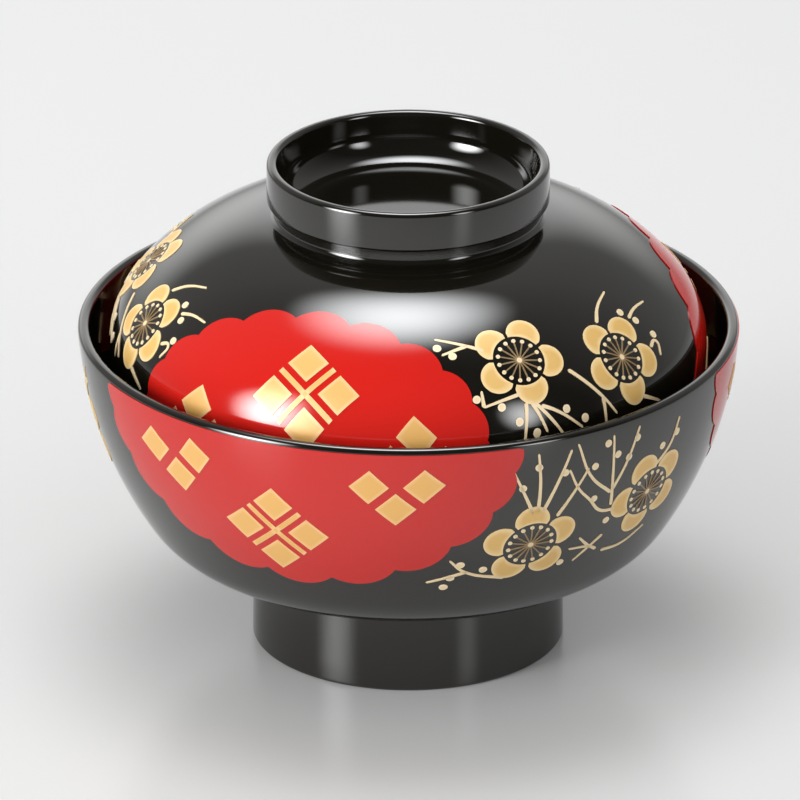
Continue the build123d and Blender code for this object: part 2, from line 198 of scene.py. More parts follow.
def arc(centre, radius, start, end, chord):
    """Points on an arc from one angle to another, no chord longer than the given one."""
    sweep = end - start
    by_length = abs(radians(sweep)) * radius / chord
    by_turn = abs(sweep) / (ARC_TURN * min(1, chord / SKIN_CHORD))
    count = max(2, round(max(by_length, min(by_turn, 40))))
    angles = [radians(start + sweep * number / count) for number in range(count + 1)]
    return [(centre[0] + radius * cos(a), centre[1] + radius * sin(a)) for a in angles]


def run(start, end, chord):
    """Points on a straight run."""
    count = max(1, round(hypot(end[0] - start[0], end[1] - start[1]) / (3 * chord)))
    return [
        (start[0] + (end[0] - start[0]) * number / count,
         start[1] + (end[1] - start[1]) * number / count)
        for number in range(count + 1)
    ]


def joined(*parts):
    """One run of points from several, without the doubled points where they meet."""
    points = []
    for part in parts:
        for point in part:
            if not points or hypot(point[0] - points[-1][0], point[1] - points[-1][1]) > 1e-4:
                points.append(point)
    return points


tilt_a = radians(BOWL_RIM_TILT)
tilt_b = radians(BOWL_SIDE_END_TILT)
tilt_c = radians(BOWL_UNDERSIDE_TILT)
underside_slope = 1 / tan(tilt_c)
hip_drop = BOWL_HIP_RADIUS * (sin(tilt_c) - sin(tilt_b))
hip_reach = BOWL_HIP_RADIUS * (cos(tilt_b) - cos(tilt_c))
side_drop = (
    BOWL_HEIGHT - FOOT_HEIGHT - hip_drop
    - underside_slope * (BOWL_RIM_RADIUS - hip_reach - FOOT_TOP_RADIUS)
)
side_radius = side_drop / (
    sin(tilt_b) - sin(tilt_a) - underside_slope * (cos(tilt_a) - cos(tilt_b))
)
side_centre = (
    BOWL_RIM_RADIUS - side_radius * cos(tilt_a),
    BOWL_HEIGHT + side_radius * sin(tilt_a),
)
hip_centre = (
    side_centre[0] + (side_radius - BOWL_HIP_RADIUS) * cos(tilt_b),
    side_centre[1] - (side_radius - BOWL_HIP_RADIUS) * sin(tilt_b),
)


def bowl_side_radius(height, inset=0.0):
    """Radius of the bowl's side at a height, or a given distance inside it."""
    return side_centre[0] + sqrt((side_radius - inset) ** 2 - (height - side_centre[1]) ** 2)


def bowl_profile(chord):
    """Half section of the finished bowl, from its recess round the rim to its floor."""
    inner_hip = BOWL_HIP_RADIUS - BOWL_WALL
    floor_start = (hip_centre[0] + inner_hip * cos(tilt_c), hip_centre[1] - inner_hip * sin(tilt_c))
    floor_radius = floor_start[0] / cos(tilt_c)
    floor_centre = (0, floor_start[1] + floor_radius * sin(tilt_c))
    ceiling = floor_centre[1] - floor_radius - BOWL_BASE_THICKNESS
    recess = FOOT_RADIUS - FOOT_WALL

    wall_lean = atan2(FOOT_RADIUS - FOOT_TOP_RADIUS, FOOT_HEIGHT)
    out = (cos(wall_lean), sin(wall_lean))
    edge_x = FOOT_RADIUS - FOOT_ROUND * (1 + out[1]) / out[0]
    down = (sin(radians(90) - tilt_c), -cos(radians(90) - tilt_c))
    hip_end = (hip_centre[0] + BOWL_HIP_RADIUS * cos(tilt_c),
               hip_centre[1] - BOWL_HIP_RADIUS * sin(tilt_c))
    wall_side = FOOT_RADIUS * out[0] + FOOT_ROUND
    under_side = hip_end[0] * down[0] + hip_end[1] * down[1] + FOOT_ROUND
    cross = out[0] * down[1] - out[1] * down[0]
    joint = ((wall_side * down[1] - under_side * out[1]) / cross,
             (out[0] * under_side - down[0] * wall_side) / cross)

    lip = BOWL_WALL * LIP_SHARE
    lip_height = BOWL_HEIGHT - lip
    outer_lip = (bowl_side_radius(lip_height, lip), lip_height)
    inner_lip = (bowl_side_radius(lip_height, BOWL_WALL - lip), lip_height)
    outer_lean = degrees(atan2(outer_lip[1] - side_centre[1], outer_lip[0] - side_centre[0]))
    inner_lean = degrees(atan2(inner_lip[1] - side_centre[1], inner_lip[0] - side_centre[0]))

    return joined(
        run((0, ceiling), (recess - FOOT_RECESS_ROUND, ceiling), chord),
        arc((recess - FOOT_RECESS_ROUND, ceiling - FOOT_RECESS_ROUND), FOOT_RECESS_ROUND,
            90, 0, chord),
        run((recess, ceiling - FOOT_RECESS_ROUND), (recess, FOOT_ROUND), chord),
        arc((recess + FOOT_ROUND, FOOT_ROUND), FOOT_ROUND, 180, 270, chord),
        arc((edge_x, FOOT_ROUND), FOOT_ROUND, -90, degrees(wall_lean), chord),
        run((edge_x + FOOT_ROUND * out[0], FOOT_ROUND * (1 + out[1])),
            (joint[0] - FOOT_ROUND * out[0], joint[1] - FOOT_ROUND * out[1]), chord),
        arc(joint, FOOT_ROUND, 180 + degrees(wall_lean), 180 - BOWL_UNDERSIDE_TILT, chord),
        arc(hip_centre, BOWL_HIP_RADIUS, -BOWL_UNDERSIDE_TILT, -BOWL_SIDE_END_TILT, chord),
        arc(side_centre, side_radius, -BOWL_SIDE_END_TILT, outer_lean, chord),
        arc(outer_lip, lip, outer_lean, 90, chord),
        arc(inner_lip, lip, 90, 180 + inner_lean, chord),
        arc(side_centre, side_radius - BOWL_WALL, inner_lean, -BOWL_SIDE_END_TILT, chord),
        arc(hip_centre, inner_hip, -BOWL_SIDE_END_TILT, -BOWL_UNDERSIDE_TILT, chord),
        arc(floor_centre, floor_radius, -BOWL_UNDERSIDE_TILT, -90, chord)[:-1],
        [(0, floor_centre[1] - floor_radius)],
    )


lid_edge = BOWL_HEIGHT - LID_SEAT_DEPTH
lid_radius = bowl_side_radius(lid_edge, BOWL_WALL) - LID_CLEARANCE
shoulder_centre = (lid_radius - LID_SHOULDER_RADIUS, lid_edge + LID_SKIRT_HEIGHT)
shoulder_turn = radians(LID_SHOULDER_TURN)
crown_centre = (
    shoulder_centre[0] - (LID_CROWN_RADIUS - LID_SHOULDER_RADIUS) * cos(shoulder_turn),
    shoulder_centre[1] - (LID_CROWN_RADIUS - LID_SHOULDER_RADIUS) * sin(shoulder_turn),
)
lid_flat = crown_centre[1] + LID_CROWN_RADIUS
ring_top = lid_flat + RING_HEIGHT


def lid_profile(chord):
    """Half section of the finished lid, from its ceiling round its edge to the recess in its ring."""
    recess_floor = ring_top - RING_RECESS_DEPTH
    recess = RING_RADIUS - RING_WALL
    ring_lip = RING_WALL * LIP_SHARE
    edge_lip = LID_WALL * LIP_SHARE
    band_foot = ring_top - RING_BAND_HEIGHT
    band_round = RING_BAND_ROUND
    ceiling = lid_flat - LID_WALL
    skirt_top = shoulder_centre[1]

    joint_x = RING_NECK_RADIUS + RING_NECK_ROUND
    joint_reach = sqrt((LID_CROWN_RADIUS + RING_NECK_ROUND) ** 2 - (joint_x - crown_centre[0]) ** 2)
    joint = (joint_x, crown_centre[1] + joint_reach)
    joint_lean = degrees(atan2(joint_reach, joint_x - crown_centre[0]))

    from_recess = joined(
        run((0, recess_floor), (recess - RING_RECESS_ROUND, recess_floor), chord),
        arc((recess - RING_RECESS_ROUND, recess_floor + RING_RECESS_ROUND), RING_RECESS_ROUND,
            -90, 0, chord),
        run((recess, recess_floor + RING_RECESS_ROUND), (recess, ring_top - ring_lip), chord),
        arc((recess + ring_lip, ring_top - ring_lip), ring_lip, 180, 90, chord),
        arc((RING_RADIUS - ring_lip, ring_top - ring_lip), ring_lip, 90, 0, chord),
        run((RING_RADIUS, ring_top - ring_lip), (RING_RADIUS, band_foot + band_round), chord),
        arc((RING_RADIUS - band_round, band_foot + band_round), band_round, 0, -90, chord),
        arc((RING_NECK_RADIUS + band_round, band_foot - band_round), band_round, 90, 180, chord),
        run((RING_NECK_RADIUS, band_foot - band_round), (RING_NECK_RADIUS, joint[1]), chord),
        arc(joint, RING_NECK_ROUND, 180, 180 + joint_lean, chord),
        arc(crown_centre, LID_CROWN_RADIUS, joint_lean, LID_SHOULDER_TURN, chord),
        arc(shoulder_centre, LID_SHOULDER_RADIUS, LID_SHOULDER_TURN, 0, chord),
        run((lid_radius, skirt_top), (lid_radius, lid_edge + edge_lip), chord),
        arc((lid_radius - edge_lip, lid_edge + edge_lip), edge_lip, 0, -90, chord),
        arc((lid_radius - LID_WALL + edge_lip, lid_edge + edge_lip), edge_lip, -90, -180, chord),
        run((lid_radius - LID_WALL, lid_edge + edge_lip), (lid_radius - LID_WALL, skirt_top), chord),
        arc(shoulder_centre, LID_SHOULDER_RADIUS - LID_WALL, 0, LID_SHOULDER_TURN, chord),
        arc(crown_centre, LID_CROWN_RADIUS - LID_WALL, LID_SHOULDER_TURN, 90, chord),
        run((crown_centre[0], ceiling), (0, ceiling), chord),
    )
    return from_recess[::-1]


# Plain helper meshes

def helper(name, verts, edges=(), faces=(), **attributes):
    """A mesh object from points in millimetres, with number attributes on its points."""
    mesh = bpy.data.meshes.new(name)
    mesh.from_pydata([tuple(c * MM for c in v) for v in verts], edges, faces)
    for key, values in attributes.items():
        mesh.attributes.new(key, "FLOAT", "POINT").data.foreach_set("value", values)
    obj = bpy.data.objects.new(name, mesh)
    bpy.context.collection.objects.link(obj)
    return obj


def profile_line(name, points):
    """A half section as a line of points in the XZ plane."""
    return helper(name, [(r, 0, z) for r, z in points],
                  [(number, number + 1) for number in range(len(points) - 1)])


def patch(name, outline, centre, rings):
    """A flat sheet inside an outline, divided in rings round a centre, with a rim attribute."""
    verts = [(centre[0], centre[1], 0)]
    rim = [0.0]
    count = len(outline)
    for ring in range(1, rings + 1):
        share = ring / rings
        for x, y in outline:
            verts.append((centre[0] + (x - centre[0]) * share, centre[1] + (y - centre[1]) * share, 0))
            rim.append(share)
    faces = []
    for number in range(count):
        after = (number + 1) % count
        faces.append((0, 1 + number, 1 + after))
        for ring in range(rings - 1):
            low = 1 + ring * count
            high = low + count
            faces.append((low + number, high + number, high + after, low + after))
    return helper(name, verts, (), faces, rim=rim)


def straight_sided(corners, pieces):
    """An outline through some corners, each side divided."""
    outline = []
    for here, there in zip(corners, corners[1:] + corners[:1]):
        for number in range(pieces):
            share = number / pieces
            outline.append((here[0] + (there[0] - here[0]) * share,
                            here[1] + (there[1] - here[1]) * share))
    return outline


def disc(name, radius, sides, rings):
    """A flat round patch."""
    outline = [(radius * cos(2 * pi * k / sides), radius * sin(2 * pi * k / sides))
               for k in range(sides)]
    return patch(name, outline, (0, 0), rings)


def places(name, marks):
    """Points where a motif goes on a drawing, each with its turn."""
    return helper(name, [(*centre, 0) for centre, _ in marks],
                  lean=[radians(turn) for _, turn in marks])


def strokes(name, paths):
    """Open smooth lines that get thinner to their tips."""
    data = bpy.data.curves.new(name, "CURVE")
    data.dimensions = "3D"
    for points in paths:
        spline = data.splines.new("BEZIER")
        spline.bezier_points.add(len(points) - 1)
        spline.resolution_u = 8
        taper = (TWIG_BASE_WIDTH - TWIG_TIP_WIDTH) / (len(points) - 1)
        for number, (knot, point) in enumerate(zip(spline.bezier_points, points)):
            knot.co = (point[0] * MM, point[1] * MM, 0)
            knot.handle_left_type = "AUTO"
            knot.handle_right_type = "AUTO"
            knot.radius = (TWIG_BASE_WIDTH - taper * number) / 2
    obj = bpy.data.objects.new(name, data)
    bpy.context.collection.objects.link(obj)
    return obj


# Node trees for shapes

class Tree:
    """A Geometry Nodes tree with short calls to add and join nodes."""

    def __init__(self, name, **inputs):
        self.group = bpy.data.node_groups.new(name, "GeometryNodeTree")
        self.group.interface.new_socket("Geometry", in_out="INPUT", socket_type="NodeSocketGeometry")
        self.keys = {}
        for label, kind in inputs.items():
            label = label.replace("_", " ")
            socket = self.group.interface.new_socket(
                label, in_out="INPUT", socket_type="NodeSocket" + kind)
            self.keys[label] = socket.identifier
        self.group.interface.new_socket("Geometry", in_out="OUTPUT", socket_type="NodeSocketGeometry")
        self.start = self.group.nodes.new("NodeGroupInput").outputs

    def add(self, kind, *values, **settings):
        """A node, its settings and what goes into its shown sockets in order. None skips one."""
        node = self.group.nodes.new(kind)
        for key, value in settings.items():
            setattr(node, key, value)
        for socket, value in zip([s for s in node.inputs if s.enabled], values):
            if isinstance(value, bpy.types.NodeSocket):
                self.group.links.new(value, socket)
            elif value is not None:
                socket.default_value = value
        return [s for s in node.outputs if s.enabled]

    def math(self, operation, *values):
        """A number from other numbers."""
        return self.add("ShaderNodeMath", *values, operation=operation)[0]

    def vector(self, operation, *values):
        """A vector from other vectors."""
        return self.add("ShaderNodeVectorMath", *values, operation=operation)[0]

    def scaled(self, vector, factor):
        """A vector times a number."""
        node = self.group.nodes.new("ShaderNodeVectorMath")
        node.operation = "SCALE"
        self.group.links.new(vector, node.inputs["Vector"])
        self.group.links.new(factor, node.inputs["Scale"])
        return node.outputs["Vector"]

    def spin(self, angle):
        """A turn about Z."""
        euler = self.add("ShaderNodeCombineXYZ", 0.0, 0.0, angle)[0]
        return self.add("FunctionNodeEulerToRotation", euler)[0]

    def end(self, geometry, material=None):
        """Realize Instances, then Set Material, then the output."""
        geometry = self.add("GeometryNodeRealizeInstances", geometry)[0]
        if material is not None:
            geometry = self.add("GeometryNodeSetMaterial", geometry, None, material)[0]
        output = self.group.nodes.new("NodeGroupOutput")
        self.group.links.new(geometry, output.inputs[0])
        return self

    def apply(self, name, obj=None, **values):
        """The plain mesh object that the tree makes from an object with these inputs."""
        carrier = obj or helper(name + "_start", [(0, 0, 0)])
        modifier = carrier.modifiers.new(name, "NODES")
        modifier.node_group = self.group
        for label, value in values.items():
            modifier[self.keys[label.replace("_", " ")]] = value
        seen = carrier.evaluated_get(bpy.context.evaluated_depsgraph_get())
        mesh = bpy.data.meshes.new_from_object(seen)
        carrier.modifiers.remove(modifier)
        bpy.data.objects.remove(carrier)
        mesh.name = name
        result = bpy.data.objects.new(name, mesh)
        bpy.context.collection.objects.link(result)
        return result


def turned_skin_tree():
    """A skin turned round the axis from the points of a half section."""
    tree = Tree("turned_skin", Profile="Object", Points="Int", Steps="Int", Material="Material")
    start = tree.start
    profile = tree.add("GeometryNodeObjectInfo", start["Profile"])[-1]
    columns = tree.math("ADD", start["Steps"], 1.0)
    sheet = tree.add("GeometryNodeMeshGrid", 1.0, 1.0, columns, start["Points"])[0]
    index = tree.add("GeometryNodeInputIndex")[0]
    row = tree.math("MODULO", index, start["Points"])
    column = tree.math("FLOOR", tree.math("DIVIDE", tree.math("ADD", index, 0.5), start["Points"]))
    place = tree.add("GeometryNodeInputPosition")[0]
    point = tree.add("GeometryNodeSampleIndex", profile, place, row,
                     data_type="FLOAT_VECTOR", domain="POINT")[0]
    angle = tree.math("MULTIPLY", tree.math("DIVIDE", column, start["Steps"]), 2 * pi)
    turned = tree.add("ShaderNodeVectorRotate", point, None, angle, rotation_type="Z_AXIS")[0]
    skin = tree.add("GeometryNodeSetPosition", sheet, None, turned)[0]
    skin = tree.add("GeometryNodeMergeByDistance", skin, None, 1e-7)[0]
    skin = tree.add("GeometryNodeSetShadeSmooth", skin, None, True)[0]
    return tree.end(skin, start["Material"])


def copies_tree():
    """A motif repeated round its centre, and that figure set at each place of a drawing."""
    tree = Tree("ring_of_copies", Motif="Object", Places="Object", Copies="Int", Size="Float")
    start = tree.start
    motif = tree.add("GeometryNodeObjectInfo", start["Motif"])[-1]
    marks = tree.add("GeometryNodeObjectInfo", start["Places"])[-1]
    index = tree.add("GeometryNodeInputIndex")[0]
    turn = tree.math("MULTIPLY", tree.math("DIVIDE", index, start["Copies"]), 2 * pi)
    points = tree.add("GeometryNodePoints", start["Copies"])[0]
    figure = tree.add("GeometryNodeInstanceOnPoints", points, None, motif, None, None,
                      tree.spin(turn))[0]
    lean = tree.add("GeometryNodeInputNamedAttribute", "lean", data_type="FLOAT")[0]
    drawing = tree.add("GeometryNodeInstanceOnPoints", marks, None, figure, None, None,
                       tree.spin(lean), start["Size"])[0]
    return tree.end(drawing)


def brush_tree():
    """Flat ribbons along lines, as wide as the line's radius says, with round ends."""
    tree = Tree("brush_strokes", Spacing="Float")
    start = tree.start
    line = tree.add("GeometryNodeResampleCurve", start["Geometry"], None, start["Spacing"],
                    mode="LENGTH")[0]
    line = tree.add("GeometryNodeSetCurveNormal", line, None, mode="Z_UP")[0]
    radius = tree.math("MULTIPLY", tree.add("GeometryNodeInputRadius")[0], MM)
    along = tree.add("GeometryNodeSplineParameter")[1]
    whole = tree.add("GeometryNodeSplineLength")[0]
    to_end = tree.math("MINIMUM", along, tree.math("SUBTRACT", whole, along))
    share = tree.math("MINIMUM", tree.math("DIVIDE", to_end, radius), 1.0)
    back = tree.math("SUBTRACT", 1.0, share)
    cap = tree.math("SQRT", tree.math("SUBTRACT", 1.0, tree.math("MULTIPLY", back, back)))
    width = tree.math("MULTIPLY", radius, tree.math("MAXIMUM", cap, 0.2))
    across = tree.add("GeometryNodeCurvePrimitiveLine", (-1.0, 0.0, 0.0), (1.0, 0.0, 0.0))[0]
    across = tree.add("GeometryNodeResampleCurve", across, None, 3, mode="COUNT")[0]
    ribbon = tree.add("GeometryNodeCurveToMesh", line, across, width)[0]
    return tree.end(ribbon)


def painting_tree():
    """A flat drawing laid on a wall as a thin layer, and turned to its places round the axis."""
    tree = Tree("painted_on_wall", Wall="Object", Turns="Object", Origin="Vector", Lean="Vector",
                Reach="Float", Start_Height="Float", Sink="Float", Layer="Float",
                Material="Material")
    start = tree.start
    wall = tree.add("GeometryNodeObjectInfo", start["Wall"])[-1]
    lean = tree.add("FunctionNodeEulerToRotation", start["Lean"])[0]
    drawing = tree.add("GeometryNodeTransform", start["Geometry"], start["Origin"], lean)[0]
    outwards = tree.add("FunctionNodeRotateVector", (0.0, 0.0, 1.0), lean)[0]
    place = tree.add("GeometryNodeInputPosition")[0]
    above = tree.vector("ADD", place, tree.scaled(outwards, start["Start Height"]))
    inwards = tree.vector("SUBTRACT", (0.0, 0.0, 0.0), outwards)
    hit, touch, normal = tree.add("GeometryNodeRaycast", wall, None, above, inwards,
                                  start["Reach"], data_type="FLOAT")[:3]
    sunk = tree.vector("SUBTRACT", touch, tree.scaled(normal, start["Sink"]))
    sheet = tree.add("GeometryNodeSetPosition", drawing, hit, sunk)[0]
    thickness = tree.math("ADD", start["Layer"], start["Sink"])
    raised = tree.add("GeometryNodeExtrudeMesh", sheet, None, None, thickness, False,
                      mode="FACES")[0]
    under = tree.add("GeometryNodeFlipFaces", sheet)[0]
    layer = tree.group.nodes.new("GeometryNodeJoinGeometry")
    tree.group.links.new(raised, layer.inputs[0])
    tree.group.links.new(under, layer.inputs[0])
    solid = tree.add("GeometryNodeMergeByDistance", layer.outputs[0], None, 1e-7)[0]
    turns = tree.add("GeometryNodeObjectInfo", start["Turns"])[-1]
    turn = tree.add("GeometryNodeInputNamedAttribute", "lean", data_type="FLOAT")[0]
    ring = tree.add("GeometryNodeInstanceOnPoints", turns, None, solid, None, None,
                    tree.spin(turn))[0]
    ring = tree.add("GeometryNodeRealizeInstances", ring)[0]
    bend = tree.add("GeometryNodeInputMeshEdgeAngle")[0]
    crease = tree.math("GREATER_THAN", bend, radians(CREASE_ANGLE))
    ring = tree.add("GeometryNodeSetShadeSmooth", ring, None, True)[0]
    ring = tree.add("GeometryNodeSetShadeSmooth", ring, crease, False, domain="EDGE")[0]
    return tree.end(ring, start["Material"])


# Shader groups and materials, with noise scales per metre

WIPING_SCALE = (40.0, 40.0, 260.0)
SPECK_SCALE = 420.0
GOLD_CLOUD_SCALE = 260.0
GOLD_GRAIN_SCALE = 4000.0
GOLD_GRAIN_DEPTH = 2e-6
GOLD_ROUGHNESS = 0.32
GOLD_ROUGHNESS_SPREAD = 0.12


class Shader:
    """Short calls to add nodes to a shader tree."""

    def __init__(self, tree):
        self.tree = tree

    def add(self, kind, values=None, **settings):
        """A node with its settings, and values or links for its sockets by name."""
        node = self.tree.nodes.new(kind)
        for key, value in settings.items():
            setattr(node, key, value)
        for key, value in (values or {}).items():
            if isinstance(value, bpy.types.NodeSocket):
                self.tree.links.new(value, node.inputs[key])
            else:
                node.inputs[key].default_value = value
        return node

    def math(self, operation, a, b=0.0, c=0.0):
        """A number from other numbers."""
        return self.add("ShaderNodeMath", {0: a, 1: b, 2: c}, operation=operation).outputs[0]

    def blend(self, share, a, b, mode="MIX"):
        """A colour between two."""
        node = self.add("ShaderNodeMix", data_type="RGBA", blend_type=mode)
        for key, value in ((0, share), (6, a), (7, b)):
            if isinstance(value, bpy.types.NodeSocket):
                self.tree.links.new(value, node.inputs[key])
            else:
                node.inputs[key].default_value = value
        return node.outputs[2]

    def spread(self, value, low, high, to_low=0.0, to_high=1.0):
        """A number moved from one range to another."""
        return self.add("ShaderNodeMapRange", {"Value": value, "From Min": low, "From Max": high,
                                               "To Min": to_low, "To Max": to_high}).outputs[0]


def group(name, inputs, outputs):
    """An empty shader group, its helper and its input sockets."""
    tree = bpy.data.node_groups.new(name, "ShaderNodeTree")
    for label, (kind, value) in inputs.items():
        socket = tree.interface.new_socket(label, in_out="INPUT", socket_type="NodeSocket" + kind)
        socket.default_value = value
    for label, kind in outputs.items():
        tree.interface.new_socket(label, in_out="OUTPUT", socket_type="NodeSocket" + kind)
    shader = Shader(tree)
    return tree, shader, shader.add("NodeGroupInput").outputs


def polish_group():
    """A polished coat: its faint waves, wiping marks and fine dust."""
    tree, shader, given = group(
        "polished_coat",
        {"Roughness": ("Float", 0.1), "Wave Size": ("Float", 0.004), "Wave Depth": ("Float", 1e-6),
         "Wiping": ("Float", 0.02), "Dust": ("Float", 0.02)},
        {"Roughness": "Float", "Height": "Float", "Dust": "Float"},
    )
    coord = shader.add("ShaderNodeTexCoord").outputs["Object"]
    scale = shader.math("DIVIDE", 1.0, given["Wave Size"])
    waves = shader.add("ShaderNodeTexNoise", {"Vector": coord, "Scale": scale, "Detail": 1.0})
    height = shader.math("MULTIPLY", waves.outputs[0], given["Wave Depth"])
    stretch = shader.add("ShaderNodeMapping", {"Vector": coord, "Scale": WIPING_SCALE})
    wipe = shader.add("ShaderNodeTexNoise",
                      {"Vector": stretch.outputs[0], "Scale": 1.0, "Detail": 3.0})
    rough = shader.math("MULTIPLY_ADD", shader.math("SUBTRACT", wipe.outputs[0], 0.5),
                        given["Wiping"], given["Roughness"])
    specks = shader.add("ShaderNodeTexVoronoi", {"Vector": coord, "Scale": SPECK_SCALE})
    pick = shader.add("ShaderNodeTexWhiteNoise", {"Vector": specks.outputs["Position"]})
    few = shader.math("LESS_THAN", pick.outputs["Value"], given["Dust"])
    small = shader.spread(specks.outputs["Distance"], 0.02, 0.07, 1.0, 0.0)
    dust = shader.math("MULTIPLY", few, small)
    shader.add("NodeGroupOutput", {"Roughness": rough, "Height": height, "Dust": dust})
    return tree


def gold_group():
    """Gold paint: its cloudy tone, fine grain and paler edge."""
    tree, shader, given = group(
        "gold_paint",
        {"Deep": ("Color", (0.6, 0.4, 0.14, 1)), "Pale": ("Color", (0.8, 0.6, 0.3, 1)),
         "Edge": ("Float", 0.8), "Mottle": ("Float", 0.35)},
        {"Color": "Color", "Height": "Float", "Roughness": "Float"},
    )
    coord = shader.add("ShaderNodeTexCoord").outputs["Object"]
    rim = shader.add("ShaderNodeAttribute", attribute_name="rim").outputs["Fac"]
    cloud = shader.add("ShaderNodeTexNoise", {"Vector": coord, "Scale": GOLD_CLOUD_SCALE, "Detail": 3.0})
    grain = shader.add("ShaderNodeTexNoise", {"Vector": coord, "Scale": GOLD_GRAIN_SCALE, "Detail": 2.0})
    edge = shader.spread(rim, given["Edge"], 1.0)
    tone = shader.math("MULTIPLY_ADD", shader.math("SUBTRACT", cloud.outputs[0], 0.5),
                       given["Mottle"], edge)
    colour = shader.blend(tone, given["Deep"], given["Pale"])
    height = shader.math("MULTIPLY", grain.outputs[0], GOLD_GRAIN_DEPTH)
    rough = shader.math("MULTIPLY_ADD", grain.outputs[0], GOLD_ROUGHNESS_SPREAD, GOLD_ROUGHNESS)
    shader.add("NodeGroupOutput", {"Color": colour, "Height": height, "Roughness": rough})
    return tree


polished_coat = polish_group()
gold_paint = gold_group()


def material(name, values):
    """A material with a Principled shader, and its helper."""
    made = bpy.data.materials.new(name)
    made.use_nodes = True
    shader = Shader(made.node_tree)
    principled = made.node_tree.nodes["Principled BSDF"]
    for key, value in values.items():
        principled.inputs[key].default_value = value
    return made, shader, principled


def bump(shader, height, principled):
    """A height that tilts the shader's normal."""
    node = shader.add("ShaderNodeBump", {"Height": height, "Strength": 1.0, "Distance": 1.0})
    shader.tree.links.new(node.outputs[0], principled.inputs["Normal"])


def lacquer(name, colour, dust_colour, roughness, dust, ior):
    """Polished lacquer of one colour."""
    made, shader, principled = material(name, {"IOR": ior})
    coat = shader.add("ShaderNodeGroup", {}, node_tree=polished_coat)
    for key, value in {"Roughness": roughness, "Wave Size": 0.006, "Wave Depth": 1.5e-6,
                       "Wiping": 0.04, "Dust": dust}.items():
        coat.inputs[key].default_value = value
    colours = shader.blend(coat.outputs["Dust"], colour, dust_colour)
    shader.tree.links.new(colours, principled.inputs["Base Color"])
    shader.tree.links.new(coat.outputs["Roughness"], principled.inputs["Roughness"])
    bump(shader, coat.outputs["Height"], principled)
    return made


def gold(name, deep, pale, edge, mottle):
    """Gold paint that is part metal, part varnish."""
    made, shader, principled = material(name, {"Metallic": 0.15, "IOR": 1.8})
    paint = shader.add("ShaderNodeGroup", {}, node_tree=gold_paint)
    for key, value in {"Deep": deep, "Pale": pale, "Edge": edge, "Mottle": mottle}.items():
        paint.inputs[key].default_value = value
    shader.tree.links.new(paint.outputs["Color"], principled.inputs["Base Color"])
    shader.tree.links.new(paint.outputs["Roughness"], principled.inputs["Roughness"])
    bump(shader, paint.outputs["Height"], principled)
    return made


black_lacquer = lacquer("black_lacquer", (0.004, 0.0034, 0.0022, 1), (0.03, 0.03, 0.03, 1),
                        roughness=0.07, dust=0.02, ior=1.75)
red_lacquer = lacquer("red_lacquer", (0.345, 0.0078, 0.005, 1), (0.39, 0.05, 0.042, 1),
                      roughness=0.1, dust=0.01, ior=1.6)
crest_gold = gold("crest_gold", (0.53, 0.29, 0.072, 1), (0.61, 0.38, 0.17, 1), 0.72, 0.25)
petal_gold = gold("petal_gold", (0.53, 0.325, 0.09, 1), (0.65, 0.48, 0.24, 1), 0.55, 0.3)
line_gold = gold("line_gold", (0.61, 0.475, 0.28, 1), (0.68, 0.56, 0.37, 1), 0.5, 0.3)
stalk_gold = gold("stalk_gold", (0.17, 0.11, 0.045, 1), (0.26, 0.17, 0.075, 1), 0.5, 0.4)


# Bowl and lid skins, and finer walls that the drawings are laid on

turned_skin = turned_skin_tree()


def turned(name, profile, chord, steps, finish):
    """A turned skin from a profile."""
    points = profile(chord)
    line = profile_line(name + "_profile", points)
    skin = turned_skin.apply(name, Profile=line, Points=len(points), Steps=steps, Material=finish)
    bpy.data.objects.remove(line)
    return skin


bowl_skin = turned("bowl_lacquer_skin", bowl_profile, SKIN_CHORD, SKIN_STEPS, black_lacquer)
lid_skin = turned("lid_lacquer_skin", lid_profile, SKIN_CHORD, SKIN_STEPS, black_lacquer)
bowl_wall = turned("bowl_wall", bowl_profile, WALL_CHORD, WALL_STEPS, black_lacquer)
lid_wall = turned("lid_wall", lid_profile, WALL_CHORD, WALL_STEPS, black_lacquer)


# Drawing planes that touch the walls

class Side:
    """Where the drawings of the bowl or of the lid go."""

    def __init__(self, body, wall, radius, height, tilt, low, high):
        self.body = body
        self.wall = wall
        self.radius = radius
        self.height = height
        self.tilt = radians(tilt)
        self.low = low
        self.high = high

    def origin(self, azimuth):
        """Middle of the drawing plane at an azimuth from the front."""
        a = radians(azimuth)
        return (self.radius * sin(a) * MM, -self.radius * cos(a) * MM, self.height * MM)

    def lean(self, azimuth):
        """Turn that lays a flat drawing on the plane."""
        return Matrix.Rotation(radians(azimuth), 3, "Z") @ Matrix.Rotation(
            radians(90) - self.tilt, 3, "X")

    def limit(self, x, edge):
        """How far up the drawing an edge of the wall, given as radius and height, goes at x."""
        depth = sqrt(max(edge[0] ** 2 - x ** 2, 0)) - self.radius
        return (edge[1] - self.height) * cos(self.tilt) - depth * sin(self.tilt)


bowl_tilt = radians(BOWL_ART_TILT)
bowl_top = BOWL_HEIGHT - BOWL_RIM_MARGIN
bowl_side = Side(
    "bowl", bowl_wall,
    side_centre[0] + side_radius * cos(bowl_tilt), side_centre[1] + side_radius * sin(bowl_tilt),
    BOWL_ART_TILT, None, (bowl_side_radius(bowl_top), bowl_top),
)
lid_bottom = (lid_radius, lid_edge + LID_EDGE_MARGIN)
lid_side = Side("lid", lid_wall, LID_ART_RADIUS, LID_ART_HEIGHT, LID_ART_TILT, lid_bottom, None)
lid_lower_side = Side(
    "lid", lid_wall, LID_ART_RADIUS + LID_CLOUD_DROP * sin(radians(LID_ART_TILT)),
    LID_ART_HEIGHT - LID_CLOUD_DROP * cos(radians(LID_ART_TILT)), LID_ART_TILT, lid_bottom, None,
)

ring_of_copies = copies_tree()
brush_strokes = brush_tree()
painted_on_wall = painting_tree()


